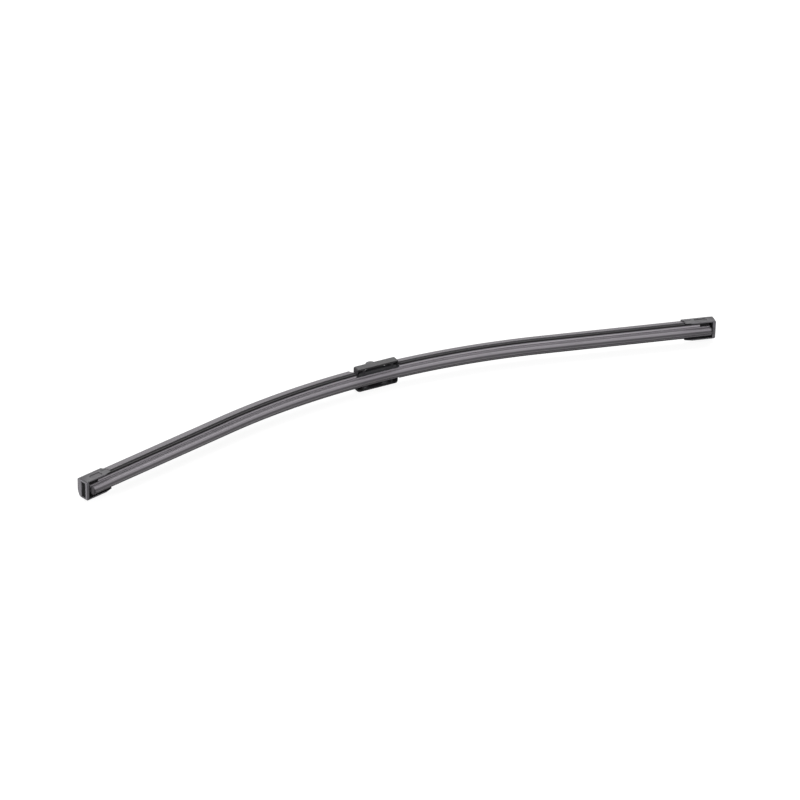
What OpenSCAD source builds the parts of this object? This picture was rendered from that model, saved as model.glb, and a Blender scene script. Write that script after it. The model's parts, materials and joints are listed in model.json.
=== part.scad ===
// Flat wiper blade, lying on its side as it rests on a bench.
// X runs along the chord, Y points away from the glass and Z is the width of the blade.
// The blade is one section carried along a curve: an arc in the middle and a straight run to each tip.
// A section is drawn with its height above the rails as x and its place across the width as y.

/* [Blade] */
// Overall length, measured along the blade over both end caps
blade_len = 550; // [450:10:700]
// Length of the curved stretch in the middle, measured along the blade
arc_len = 274; // [180:2:340]
// Bend radius of the curved stretch, at the underside of the rails
bend_r = 528; // [440:4:800]

/* [Spring rails] */
// Width of one rail
rail_w = 3.35; // [2.8:0.05:3.8]
// Thickness of a rail
rail_t = 0.9; // [0.7:0.05:1.1]
// Distance between the two rails
rail_gap = 2.5; // [2:0.1:3]
// Distance from the outer end of a cap to the end of the rails
rail_inset = 6; // [5.8:0.2:8]
// Length of the locking notch in a rail's outer edge
notch_len = 3; // [2:0.5:4]
// Depth of the locking notch in a rail's outer edge
notch_depth = 0.8; // [0.4:0.1:1]
// Running clearance round a rail
rail_clear = 0.08; // [0.04:0.01:0.12]

/* [Wiping rubber] */
// Distance from the outer end of a cap to the end of the rubber
rubber_inset = 4; // [3:0.1:5]
// Width of the head above the rails
head_w = 4.8; // [4.2:0.1:5.2]
// Thickness of the head above the rails
head_t = 1.1; // [0.8:0.05:1.4]
// Width of the flange below the rails
flange_w = 5.2; // [4.6:0.1:5.8]
// Thickness of the flange below the rails
flange_t = 1.2; // [0.8:0.05:1.4]
// Thickness of the tilting neck
neck_w = 1.2; // [0.8:0.1:1.6]
// Height of the tilting neck
neck_h = 1.1; // [0.8:0.1:1.5]
// Width over the shoulders
shoulder_w = 5.7; // [5:0.1:6.4]
// Height of the shoulders
shoulder_h = 3.4; // [2.6:0.1:4]
// Height of the slope on top of the shoulders
shoulder_slope = 0.6; // [0.4:0.1:0.8]
// Depth of the relief groove along each shoulder
shoulder_groove = 0.35; // [0.2:0.05:0.6]
// Height of the relief groove above the shoulders' lower edge
groove_rise = 1; // [0.6:0.1:1.4]
// Height of the taper from the shoulders to the lip
taper_h = 1.3; // [0.8:0.1:2]
// Thickness of the lip where it leaves the taper
lip_root = 1.3; // [1.1:0.1:1.6]
// Thickness of the lip at its wiping edge
lip_w = 0.8; // [0.6:0.05:1]
// Height of the lip
lip_h = 1.4; // [1:0.1:2.4]
// Clearance between the rubber's head and its channel
head_clear = 0.15; // [0.1:0.05:0.25]

/* [Spoiler] */
// Width over the wings
spoiler_w = 13.3; // [13:0.1:15]
// Width over the claws
claw_w = 12.6; // [12:0.1:12.9]
// Thickness of a claw under its rail
claw_t = 1.05; // [0.8:0.05:1.3]
// How far a claw reaches in under its rail
claw_reach = 1.4; // [0.8:0.1:1.8]
// Height of the ridge above the underside of the rails
ridge_h = 10.4; // [8:0.1:13]
// Width of the ridge
ridge_w = 1.3; // [1:0.1:2]
// Distance of the ridge from the middle of the width
ridge_offset = 3; // [1:0.1:4]
// How far the steep flank is hollowed
steep_hollow = 0.35; // [0.1:0.05:0.8]
// How far the long flank is hollowed
long_hollow = 1.9; // [0.6:0.1:2.2]
// Height of the groove along each side
side_groove_h = 1.4; // [1:0.05:1.8]
// Wall left between the side groove and the rail
side_groove_wall = 0.55; // [0.4:0.05:0.7]
// Thickness of a wing at its edge
wing_t = 0.55; // [0.4:0.05:0.9]
// How far the side groove reaches below the top of the rails
side_groove_drop = 0.85; // [0.6:0.05:1]
// Gap between a spoiler and the connector
spoiler_gap = 0.25; // [0.1:0.05:0.5]
// Small chamfer along the edges of the moulded pieces
edge_break = 0.3; // [0.2:0.05:0.4]

/* [End caps] */
// Length of a cap
cap_len = 24.5; // [21:0.5:32]
// Side wall of a cap
cap_wall = 1; // [0.8:0.1:1.6]
// End wall of a cap
cap_end_wall = 1.7; // [1.2:0.1:1.9]
// Height of the opening in the end wall above the underside of the rails
cap_mouth_h = 1.5; // [0.5:0.1:2]
// Height of the hollow behind the end wall above the underside of the rails
cap_hollow_h = 4.2; // [3:0.1:4.5]
// Distance from the outer end of a cap to the inner end of the hollow
cap_hollow_len = 5.5; // [4.5:0.1:5.7]
// Extra height of a cap over the ridge
cap_rise = 0.8; // [0.7:0.1:2]
// How far a cap's ridge falls towards its outer end
cap_fall = 1; // [0.5:0.1:2]
// Height of the side walls above the underside of the rails
cap_side_h = 4.5; // [4:0.5:7]
// How far the side rims reach below the claws
cap_rim = 1.6; // [0.8:0.1:1.8]
// How far a cap slides over the spoiler
cap_grip = 12; // [8:0.5:14]
// Corner radius at the outer end, seen from above
cap_round = 1.6; // [1:0.1:4]
// Radius over the outer end, seen from the side
cap_nose = 4.5; // [3:0.5:6]
// Length of the lead at the inner end
cap_lead = 7; // [4:0.5:8]
// Clearance between a cap and the spoiler
cap_clear = 0.12; // [0.08:0.02:0.2]
// Wall left at the inner end of a cap
cap_lip = 0.4; // [0.3:0.05:0.6]
// Chamfer along the top edges of a cap
cap_edge = 0.9; // [0.4:0.1:1]
// Depth of the finger recess in the upper side of a cap
cap_recess = 0.5; // [0.3:0.05:0.7]
// Length of the finger recess
cap_recess_len = 10; // [8:0.5:12]
// Height of the finger recess
cap_recess_h = 4.5; // [3:0.5:5]
// Distance of the finger recess from the lead
cap_recess_gap = 1; // [0.5:0.1:1.5]

/* [Rail bracket] */
// Sheet thickness
bracket_t = 1.2; // [1:0.1:1.4]
// Length along the rails
bracket_len = 32; // [28:1:34]
// Radius of the ear round the pivot pin
ear_r = 4.1; // [3.9:0.1:4.6]
// Length of an ear at its foot
ear_len = 17; // [14:0.5:19]
// Height of the pivot pin above the underside of the rails
pin_h = 10.3; // [9.8:0.1:12]
// Diameter of the pivot pin
pin_d = 5; // [4:0.1:5.4]
// Diameter of the pin's heads
pin_head_d = 6.6; // [6:0.1:7.4]
// Thickness of the pin's heads
pin_head_t = 0.8; // [0.6:0.1:1.2]
// Clearance of the pin in its ears, on the diameter
pin_clear = 0.1; // [0.04:0.02:0.2]

/* [Connector cover] */
// Length along the blade
cover_len = 37; // [36:1:44]
// Width over the skirts
cover_w = 19.4; // [19:0.1:23]
// Skirt and deck thickness
cover_wall = 1.4; // [1.1:0.1:1.8]
// How far the skirts reach below the rails
skirt_drop = 1.7; // [1.6:0.1:2.6]
// Height of the deck above the underside of the rails
deck_h = 6; // [5.4:0.1:7]
// Chamfer between a skirt and the deck
deck_chamfer = 1.5; // [1.4:0.1:2.6]
// Corner radius seen from above
cover_round = 3; // [1.5:0.1:3.5]
// Corner radius at the ends of the skirts, seen from the side
skirt_round = 3.4; // [1:0.1:3.4]
// Length of the window that the ears stand in
window_len = 20; // [19.5:0.5:24]
// Thickness of the cross ribs
rib_t = 1.1; // [0.8:0.1:1.6]
// Distance from the middle to a cross rib
rib_x = 12; // [11:0.5:13]
// How far a cross rib's foot snaps in under the bracket
snap_reach = 0.9; // [0.5:0.1:1.2]
// Clearance between the pin's heads and the window
window_clear = 0.5; // [0.4:0.1:1]
// Clearance between the cover and the bracket
cover_clear = 0.1; // [0.06:0.02:0.2]

/* [Hidden] */
$fn = 64;
sweep_fn = 360;
// Points along a hollowed flank and round a quarter circle
flank_steps = 9;
corner_steps = 6;
// How far a cutting solid runs past a face, and how far each half of a sweep runs past the middle
over = 1;
half_overlap = 4;

// The curve
degrees_per_mm = 180 / PI / bend_r;
half_angle = arc_len / 2 * degrees_per_mm;
tip_len = (blade_len - arc_len) / 2;
tip_y = bend_r * cos(half_angle) - bend_r;

// Heights in the section, from the rails down to the lip
rail_in = rail_gap / 2;
rail_out = rail_in + rail_w;
pocket_out = rail_out + rail_clear;
pocket_top = rail_t + rail_clear;
pocket_bottom = -rail_clear;
claw_in = rail_out - claw_reach;
claw_bottom = pocket_bottom - claw_t;
head_top = pocket_top + head_t;
channel_top = head_top + head_clear;
channel_w = head_w + 2 * head_clear;
flange_bottom = pocket_bottom - flange_t;
neck_bottom = flange_bottom - neck_h;
shoulder_bottom = neck_bottom - shoulder_h;
taper_bottom = shoulder_bottom - taper_h;
lip_bottom = taper_bottom - lip_h;

// Heights in the section, from the rails up to the ridge
groove_bottom = pocket_top - side_groove_drop;
groove_top = groove_bottom + side_groove_h;
groove_in = pocket_out + side_groove_wall;
wing_top = groove_top + wing_t;

// The connector's heights
hat_top = channel_top + bracket_t;
hat_side = pocket_out + bracket_t;
ear_in = channel_w / 2 + bracket_t;
ear_out = ear_in + bracket_t;
skirt_out = cover_w / 2;
skirt_in = skirt_out - cover_wall;
saddle_bottom = hat_top + cover_clear;
window_w = 2 * (ear_out + pin_head_t + window_clear);
bracket_angle = bracket_len * degrees_per_mm;

// Where the finished blade stands: its lowest skirt on the floor, its box centred on the origin
lift = skirt_out;
cap_foot = claw_bottom - cap_rim;
tip_low_y = tip_y - tip_len * sin(half_angle) + cap_foot * cos(half_angle);
lip_end_y = tip_y - (tip_len - rubber_inset) * sin(half_angle) + lip_bottom * cos(half_angle);
low_y = min(tip_low_y, lip_end_y);
high_y = pin_h + ear_r;
shift_y = -(low_y + high_y) / 2;

// Points of a flank from one place to another, hollowed by depth towards the inside
function flank(from, to, depth) =
    let (run = to - from, length = norm(run), side = [-run[1], run[0]] / length)
    [for (i = [0 : flank_steps]) let (f = i / flank_steps) from + run * f + side * depth * 4 * f * (1 - f)];

// The same outline on the other side of the width, in reverse order
function mirrored(points) =
    [for (i = [len(points) - 1 : -1 : 0]) [points[i][0], -points[i][1]]];

// The channel that the rails and the head run in, from the slot's lower left corner to its lower right one
function channel_half(foot) = [
    [channel_top, channel_w / 2],
    [pocket_top, channel_w / 2],
    [pocket_top, pocket_out],
    [pocket_bottom, pocket_out],
    [pocket_bottom, claw_in],
    [foot, claw_in]
];
function channel_points(foot) = concat(mirrored(channel_half(foot)), channel_half(foot));

// One side of the spoiler below its wing, from the claw's tip up, with every face moved out by grow
function claw_half(grow) = [
    [claw_bottom - grow, claw_w / 2 + grow - edge_break],
    [claw_bottom - grow + edge_break, claw_w / 2 + grow],
    [groove_bottom + grow, claw_w / 2 + grow],
    [groove_bottom + grow, groove_in + grow],
    [groove_top - grow, groove_in + grow],
    [groove_top - grow, spoiler_w / 2 + grow]
];

// The two flanks and the ridge, from the steep side's wing to the long side's
function crest(grow) =
    let (
        steep_foot = [wing_top + grow, spoiler_w / 2 + grow],
        head_h = ridge_h + grow - edge_break,
        steep_head = [head_h, ridge_offset + ridge_w / 2 + grow],
        long_head = [head_h, ridge_offset - ridge_w / 2 - grow],
        long_foot = [wing_top + grow, -spoiler_w / 2 - grow]
    )
    concat(
        flank(steep_foot, steep_head, -steep_hollow),
        [[ridge_h + grow, ridge_offset + ridge_w / 4 + grow], [ridge_h + grow, ridge_offset - ridge_w / 4 - grow]],
        flank(long_head, long_foot, -long_hollow)
    );

function spoiler_outline(grow) = concat(claw_half(grow), crest(grow), mirrored(claw_half(grow)));
function spoiler_section_points() = concat(channel_points(claw_bottom), spoiler_outline(0));

// The rubber's section, one half from the lip up
function rubber_half() =
    let (half_w = shoulder_w / 2, groove_h = shoulder_bottom + groove_rise) [
        [lip_bottom, lip_w / 2],
        [taper_bottom, lip_root / 2],
        [shoulder_bottom, half_w - edge_break],
        [shoulder_bottom + edge_break, half_w],
        [groove_h, half_w],
        [groove_h + shoulder_groove, half_w - shoulder_groove],
        [groove_h + 2 * shoulder_groove, half_w],
        [neck_bottom - shoulder_slope, half_w],
        [neck_bottom, half_w - shoulder_slope],
        [neck_bottom, neck_w / 2],
        [flange_bottom, neck_w / 2],
        [flange_bottom, flange_w / 2 - edge_break],
        [flange_bottom + edge_break, flange_w / 2],
        [pocket_bottom, flange_w / 2],
        [pocket_bottom, rail_in - rail_clear],
        [pocket_top, rail_in - rail_clear],
        [pocket_top, head_w / 2],
        [head_top - edge_break, head_w / 2],
        [head_top, head_w / 2 - edge_break]
    ];

// Turns a section and its height into the blade's own directions
module along_blade(length) {
    rotate([90, 0, 90]) linear_extrude(length) children();
}

// Turns things from the bend's centre, with the arc's right end on the X axis
module at_arc_end() {
    translate([0, -bend_r, 0]) rotate([0, 0, 90 - half_angle]) children();
}

// Puts things drawn at the outer end of the right tip in place, with X pointing outwards
module at_right_tip() {
    at_arc_end() translate([bend_r, -tip_len, 0]) rotate([0, 0, -90]) children();
}

// Sweeps a section from a distance off the middle to a distance short of the right end
module sweep_right(from, inset) {
    at_arc_end() union() {
        rotate_extrude(angle = half_angle - from * degrees_per_mm, $fn = sweep_fn)
            translate([bend_r, 0]) children();
        rotate([90, 0, 0]) linear_extrude(tip_len - inset) translate([bend_r, 0]) children();
    }
}

// Sweeps a section over the whole blade: each half runs a little past the middle, into the other
module sweep_both(inset) {
    for (side = [0, 1]) mirror([side, 0, 0]) sweep_right(-half_overlap, inset) children();
}

// Lifts and shifts the blade to where it stands
module placed() {
    translate([0, shift_y, lift]) children();
}

module wiping_rubber() {
    color("#2b2a2d") placed() sweep_both(rubber_inset) rubber_section();
}

module rubber_section() {
    polygon(concat(rubber_half(), mirrored(rubber_half())));
}

// The rail on the upper side, with the notches that the caps and the bracket lock into
module spring_rail() {
    difference() {
        sweep_both(rail_inset) rail_section();
        for (side = [0, 1]) mirror([side, 0, 0])
            at_right_tip() translate([-rail_inset - 2 * notch_len, 0, 0]) rail_notch();
        translate([-notch_len / 2, 0, 0]) rail_notch();
    }
}

module rail_section() {
    translate([0, rail_in]) square([rail_t, rail_w]);
}

module rail_notch() {
    translate([0, -over, rail_out - notch_depth]) cube([notch_len, rail_t + 2 * over, notch_depth + over]);
}

module spring_rail_upper() {
    color("#8d9093") placed() spring_rail();
}

module spring_rail_lower() {
    color("#8d9093") placed() mirror([0, 0, 1]) spring_rail();
}

module spoiler_right() {
    color("#3a393c") placed()
        sweep_right(cover_len / 2 + spoiler_gap, cap_len - cap_grip) polygon(spoiler_section_points());
}

module spoiler_left() {
    color("#3a393c") placed() mirror([1, 0, 0])
        sweep_right(cover_len / 2 + spoiler_gap, cap_len - cap_grip) polygon(spoiler_section_points());
}

// Outer form of a cap at the right tip: its section, its plan and its side view have to agree
module cap_form() {
    half_w = spoiler_w / 2 + cap_wall + cap_clear;
    top = ridge_h + cap_rise;
    intersection() {
        union() {
            translate([-cap_len, 0, 0]) along_blade(cap_len) polygon(cap_outline(top));
            cap_shoulder([wing_top, half_w], cap_head(top, 1));
            cap_shoulder([wing_top, -half_w], cap_head(top, -1));
        }
        translate([0, top + over, 0]) rotate([90, 0, 0]) linear_extrude(top - cap_foot + 2 * over)
            cap_plan(half_w);
        translate([0, 0, -half_w - over]) linear_extrude(2 * (half_w + over)) cap_side(top);
    }
}

// Where a flank of a cap meets its ridge, on the steep side (1) or the long side (-1)
function cap_head(top, side) =
    [top - cap_edge, ridge_offset + side * (ridge_w / 2 + cap_wall + cap_clear)];

// The section of a cap at its inner end: straight side walls below, hollow flanks above
function cap_outline(top) =
    let (
        half_w = spoiler_w / 2 + cap_wall + cap_clear,
        steep_head = cap_head(top, 1),
        long_head = cap_head(top, -1)
    )
    concat(
        [[cap_foot, half_w - edge_break], [cap_foot + edge_break, half_w]],
        flank([wing_top, half_w], steep_head, -steep_hollow),
        [[top, steep_head[1] - cap_edge], [top, long_head[1] + cap_edge]],
        flank(long_head, [wing_top, -half_w], -long_hollow),
        [[cap_foot + edge_break, -half_w], [cap_foot, edge_break - half_w]]
    );

// Fills a hollow flank out to a side wall: the fill leads in from the ridge to the wall's face
module cap_shoulder(foot, head) {
    intersection() {
        translate([-cap_len, 0, 0]) along_blade(cap_len)
            polygon([foot, [cap_side_h, foot[1]], head, [foot[0], head[1]]]);
        translate([0, head[0] + over, 0]) rotate([90, 0, 0]) linear_extrude(head[0] - foot[0] + 2 * over)
            polygon([[-cap_len, head[1]], [-cap_len + cap_lead, foot[1]], [over, foot[1]], [over, head[1]]]);
    }
}

// The plan of a cap, with round outer corners and a lead at the inner end
module cap_plan(half_w) {
    lead_w = spoiler_w / 2 + cap_clear + cap_lip;
    polygon(concat(
        [[-cap_len, -lead_w], [-cap_len + cap_lead, -half_w]],
        corner([-cap_round, -half_w + cap_round], cap_round, -90),
        corner([-cap_round, half_w - cap_round], cap_round, 0),
        [[-cap_len + cap_lead, half_w], [-cap_len, lead_w]]
    ));
}

// The side view of a cap, with its nose rounded over and a lead at the inner end
module cap_side(top) {
    lead_x = -cap_len + cap_lead;
    polygon(concat(
        [[-cap_len, claw_bottom - cap_lip], [lead_x, cap_foot], [lead_x, cap_foot - over]],
        [[-over, cap_foot - over], [0, cap_foot + over]],
        corner([-cap_nose, top - cap_fall - cap_nose], cap_nose, 0),
        [[lead_x, top], [-cap_len, ridge_h + cap_clear + cap_lip]]
    ));
}

// Points of a quarter circle that starts at an angle
function corner(centre, radius, start) =
    [for (i = [0 : corner_steps]) let (a = start + 90 * i / corner_steps) centre + radius * [cos(a), sin(a)]];

// A cap at the right tip
module end_cap() {
    difference() {
        cap_form();
        // The spoiler slides in here
        translate([-cap_len - over, 0, 0]) along_blade(cap_grip + cap_clear + over)
            polygon(spoiler_outline(cap_clear));
        // The rails and the head run on to their own end
        translate([-cap_len, 0, 0]) along_blade(cap_len - cap_end_wall) polygon(channel_points(cap_foot - over));
        // The underside is open between the rims
        translate([-cap_len - over, cap_foot - over, -spoiler_w / 2 - cap_clear])
            cube([cap_len + over - cap_end_wall, cap_rim + over, spoiler_w + 2 * cap_clear]);
        // The end wall is open below, where the rubber ends
        translate([-cap_end_wall - over, cap_foot - over, -spoiler_w / 2 - cap_clear])
            cube([cap_end_wall + 2 * over, cap_mouth_h - cap_foot + over, spoiler_w + 2 * cap_clear]);
        // Behind it the cap is hollow
        translate([-cap_hollow_len, cap_foot - over, -spoiler_w / 2 - cap_clear])
            cube([cap_hollow_len - cap_end_wall, cap_hollow_h - cap_foot + over, spoiler_w + 2 * cap_clear]);
        // Finger recess in the upper side
        cap_finger_recess();
    }
}

module cap_finger_recess() {
    half_w = spoiler_w / 2 + cap_wall + cap_clear;
    radius = cap_recess_h / 2;
    foot = (cap_foot + cap_side_h - cap_recess_h) / 2;
    translate([-cap_len + cap_lead + cap_recess_gap, foot, half_w - cap_recess])
        linear_extrude(cap_recess + over) union() {
            square([cap_recess_len - radius, cap_recess_h]);
            translate([cap_recess_len - radius, radius]) circle(r = radius);
        }
}

module end_cap_right() {
    color("#343336") placed() at_right_tip() end_cap();
}

module end_cap_left() {
    color("#343336") placed() mirror([1, 0, 0]) at_right_tip() end_cap();
}

// The pressed steel bracket: a hat section clasped round the rails, with two ears for the pin
module rail_bracket() {
    color("#6f7275") placed() union() {
        translate([0, -bend_r, 0]) rotate([0, 0, 90 - bracket_angle / 2])
            rotate_extrude(angle = bracket_angle, $fn = sweep_fn) translate([bend_r, 0]) polygon(hat_points());
        for (side = [0, 1]) mirror([0, 0, side]) translate([0, 0, ear_in]) ear();
    }
}

function hat_half() = [
    [claw_bottom, hat_side],
    [pocket_top + bracket_t, hat_side],
    [pocket_top + bracket_t, ear_in],
    [hat_top, ear_in]
];
function hat_points() = concat(channel_points(claw_bottom), hat_half(), mirrored(hat_half()));

// One ear, standing in the plane of the section's height
module ear() {
    foot = pocket_top + bracket_t / 2;
    difference() {
        union() {
            linear_extrude(bracket_t) polygon(ear_points(foot));
            translate([0, pin_h, 0]) cylinder(r = ear_r, h = bracket_t);
        }
        translate([0, pin_h, -over]) cylinder(d = pin_d + pin_clear, h = bracket_t + 2 * over);
    }
}

// The ear's flanks run from its foot to where they touch the round head
function ear_points(foot) =
    let (
        rise = pin_h - foot,
        reach = norm([ear_len / 2, rise]),
        touch = 90 - atan2(ear_len / 2, rise) - acos(ear_r / reach) + 90
    )
    [
        [-ear_len / 2, foot], [ear_len / 2, foot],
        [ear_r * sin(touch), pin_h + ear_r * cos(touch)],
        [-ear_r * sin(touch), pin_h + ear_r * cos(touch)]
    ];

// The pin with a head over each ear
module pivot_pin() {
    grip = 2 * ear_out;
    color("#a3a5a8") placed() translate([0, pin_h, 0]) union() {
        cylinder(d = pin_d, h = grip + 2 * pin_head_t, center = true);
        for (side = [0, 1]) mirror([0, 0, side])
            translate([0, 0, ear_out]) cylinder(d = pin_head_d, h = pin_head_t);
    }
}

// The moulded cover: two skirts, a deck with a window for the ears, and cross ribs beside the bracket
module connector_cover() {
    color("#2f2e31") placed() union() {
        difference() {
            cover_form();
            // The rails and the rubber run right through
            cover_hollow(cover_len + 2 * over, pocket_out + head_clear, channel_w / 2 + head_clear,
                channel_top + head_clear);
            // The bracket sits in the middle
            cover_hollow(bracket_len * (1 + hat_top / bend_r) + 2 * cover_clear, hat_side + cover_clear,
                ear_in + cover_clear, saddle_bottom);
            cover_side_pockets();
            // Window for the ears and the pin
            translate([-window_len / 2, -over, -window_w / 2])
                cube([window_len, deck_h + 2 * over, window_w]);
        }
        cover_snaps();
    }
}

// A hat-shaped hollow, open below, with its brim clear of what is below it
module cover_hollow(length, side, crown, top) {
    brim = top - head_t - head_clear + cover_clear;
    translate([-length / 2, 0, 0]) along_blade(length) polygon([
        [-skirt_drop - over, -side], [brim, -side], [brim, -crown], [top, -crown],
        [top, crown], [brim, crown], [brim, side], [-skirt_drop - over, side]
    ]);
}

module cover_form() {
    height = deck_h + skirt_drop;
    intersection() {
        translate([-cover_len / 2, 0, 0]) along_blade(cover_len) polygon([
            [-skirt_drop, -skirt_out], [deck_h - deck_chamfer, -skirt_out], [deck_h, -skirt_out + deck_chamfer],
            [deck_h, skirt_out - deck_chamfer], [deck_h - deck_chamfer, skirt_out], [-skirt_drop, skirt_out]
        ]);
        translate([0, deck_h + over, 0]) rotate([90, 0, 0]) linear_extrude(height + 2 * over)
            rounded_plan(cover_len, cover_w, cover_round);
        translate([0, (deck_h - skirt_drop) / 2, -skirt_out - over]) linear_extrude(cover_w + 2 * over)
            rounded_plan(cover_len, height, skirt_round);
    }
}

// A rectangle with round corners, centred
module rounded_plan(length, width, radius) {
    x = length / 2 - radius;
    y = width / 2 - radius;
    polygon(concat(
        corner([x, y], radius, 0), corner([-x, y], radius, 90),
        corner([-x, -y], radius, 180), corner([x, -y], radius, 270)
    ));
}

// Pockets between the skirts and the bracket, with a cross rib left standing at each end of it
module cover_side_pockets() {
    pocket_in = hat_side + cover_clear;
    pocket_top_h = deck_h - deck_chamfer - cover_wall / 2;
    middle_len = 2 * rib_x - rib_t;
    end_len = cover_len / 2 - cover_wall - rib_x - rib_t / 2;
    for (side = [0, 1]) mirror([0, 0, side]) {
        translate([-middle_len / 2, -skirt_drop - over, pocket_in - over])
            cube([middle_len, skirt_drop + over + pocket_top_h, skirt_in - pocket_in + over]);
        for (end = [0, 1]) mirror([end, 0, 0])
            translate([rib_x + rib_t / 2, -skirt_drop - over, pocket_in - over])
                cube([end_len, skirt_drop + over + pocket_top_h, skirt_in - pocket_in + over]);
    }
}

// The feet of the cross ribs reach in under the bracket and hold the cover on it
module cover_snaps() {
    sag = bend_r - sqrt(pow(bend_r, 2) - pow(rib_x + rib_t / 2, 2));
    snap_h = claw_bottom - sag - cover_clear + skirt_drop;
    snap_in = hat_side - snap_reach;
    for (side = [0, 1]) mirror([0, 0, side])
        for (end = [0, 1]) mirror([end, 0, 0])
            translate([rib_x - rib_t / 2, -skirt_drop, snap_in])
                cube([rib_t, snap_h, skirt_in - snap_in + cover_wall / 2]);
}

wiping_rubber();
spring_rail_upper();
spring_rail_lower();
spoiler_left();
spoiler_right();
end_cap_left();
end_cap_right();
rail_bracket();
pivot_pin();
connector_cover();
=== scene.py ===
"""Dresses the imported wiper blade: swept rubbers, softened mouldings and steel parts, in a pale studio."""

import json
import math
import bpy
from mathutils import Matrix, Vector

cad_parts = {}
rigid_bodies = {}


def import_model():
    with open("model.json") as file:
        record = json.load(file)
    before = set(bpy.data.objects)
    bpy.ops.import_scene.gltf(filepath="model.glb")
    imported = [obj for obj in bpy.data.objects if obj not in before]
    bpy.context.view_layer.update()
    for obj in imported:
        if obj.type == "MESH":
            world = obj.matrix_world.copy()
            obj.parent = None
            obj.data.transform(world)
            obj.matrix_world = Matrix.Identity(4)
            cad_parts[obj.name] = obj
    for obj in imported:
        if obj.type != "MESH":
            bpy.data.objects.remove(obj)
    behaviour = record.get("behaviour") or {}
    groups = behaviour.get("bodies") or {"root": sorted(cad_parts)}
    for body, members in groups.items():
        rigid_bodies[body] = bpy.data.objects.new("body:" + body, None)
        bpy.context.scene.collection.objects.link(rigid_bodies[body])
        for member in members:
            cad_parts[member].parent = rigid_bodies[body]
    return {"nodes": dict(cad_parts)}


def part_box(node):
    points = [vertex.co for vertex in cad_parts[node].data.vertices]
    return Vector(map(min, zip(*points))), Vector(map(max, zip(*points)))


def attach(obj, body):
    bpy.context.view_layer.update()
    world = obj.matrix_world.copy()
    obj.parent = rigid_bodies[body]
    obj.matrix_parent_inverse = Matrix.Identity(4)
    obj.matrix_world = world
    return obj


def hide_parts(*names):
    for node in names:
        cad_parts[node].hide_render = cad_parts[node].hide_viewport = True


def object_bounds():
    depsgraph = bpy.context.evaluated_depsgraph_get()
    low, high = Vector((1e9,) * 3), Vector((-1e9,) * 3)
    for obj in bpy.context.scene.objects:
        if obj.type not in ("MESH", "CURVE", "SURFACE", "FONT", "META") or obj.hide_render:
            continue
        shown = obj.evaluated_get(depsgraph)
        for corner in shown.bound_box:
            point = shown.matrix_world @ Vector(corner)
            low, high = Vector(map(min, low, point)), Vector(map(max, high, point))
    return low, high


bl_info = {
    "name": "Wiper Blade Dressing",
    "version": (1, 0, 0),
    "blender": (4, 5, 0),
    "location": "3D Viewport > Sidebar > Wiper Blade",
    "description": "Builds the rubbers of a flat wiper blade and finishes its plastic and steel pieces",
    "category": "Object",
}

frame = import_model()

import bmesh
import bpy
from bpy.props import FloatProperty, FloatVectorProperty, IntProperty, PointerProperty
from mathutils import Matrix, Quaternion, Vector

CAD_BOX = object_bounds()
PIN_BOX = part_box("pivot_pin")
PIN = (PIN_BOX[0] + PIN_BOX[1]) / 2
BODY = "root"

FIT = 0.0004  # how far, in metres, a piece's box may lie from its CAD node's
MERGE = 2e-6  # distance, in metres, within which two points of a CAD mesh are one
FLAT = math.radians(0.3)  # faces of a CAD mesh that meet at less than this become one
ROUND_FROM = math.radians(22)  # a corner of an outline that turns by this or more is rounded
ROUND_REACH = 0.42  # share of a side that the rounding of one of its corners may take
BEVEL_FROM = math.radians(32)  # an edge whose faces meet at more than this is rounded
BEVEL_SEGMENTS = 2
CREASE_FROM = math.radians(50)  # an edge of a swept piece whose faces meet at more than this stays sharp

SPREAD = (0.36, 0.64)  # the middle of a noise, which a ramp spreads from 0 to 1
COAT_SPREAD = (0.35, 0.65)
RUBBER_RELIEF = (0.00006, 0.5)  # depth, in metres, and strength of the bumps
PLASTIC_RELIEF = (0.00005, 0.45)
COAT_RELIEF = (0.00004, 0.5)

LAMPS = (  # name, place, size, and the setting that holds the power
    ("Overhead softbox", (0.6, 1.1, 1.5), (2.4, 1.4), "key_power"),
    ("Front softbox", (-0.7, -1.7, 1.3), (1.4, 0.9), "front_power"),
    ("Side softbox", (-1.9, -0.5, 0.5), (0.7, 0.7), "side_power"),
)
SENSOR_W = 36.0  # width of the camera's sensor, in millimetres
CLIP = (0.05, 50.0)  # nearest and farthest distance, in metres, that the camera sees


# Settings ---------------------------------------------------------------------------------------------------


def length(name, description, default):
    """A size in metres."""
    return FloatProperty(name=name, description=description, default=default, min=0.0, precision=5, unit="LENGTH")


def share(name, description, default):
    """A plain number: a strength, a roughness or a fineness."""
    return FloatProperty(name=name, description=description, default=default, min=0.0, precision=3, unit="NONE")


def tint(name, description, default):
    """A colour, in linear light."""
    return FloatVectorProperty(name=name, description=description, default=default, size=3, min=0.0, max=1.0,
                               subtype="COLOR")


class BladeCurve(bpy.types.PropertyGroup):
    """The curve that the blade follows."""

    blade_len: length("Blade length", "Length along the blade, over both end caps", 0.550)
    arc_len: length("Arc length", "Length of the curved stretch in the middle", 0.274)
    bend_r: length("Bend radius", "Radius of the curved stretch at the underside of the rails", 0.528)
    pin_h: length("Pin height", "Height of the pivot pin above the underside of the rails", 0.0103)
    step: length("Sweep step", "Distance between two sections of a swept piece", 0.004)


class RailSizes(bpy.types.PropertyGroup):
    """The two spring rails and the room round them."""

    rail_w: length("Rail width", "Width of one rail", 0.00335)
    rail_t: length("Rail thickness", "Thickness of a rail", 0.0009)
    rail_gap: length("Rail gap", "Distance between the two rails", 0.0025)
    rail_clear: length("Rail clearance", "Running clearance round a rail", 0.00008)


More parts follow.
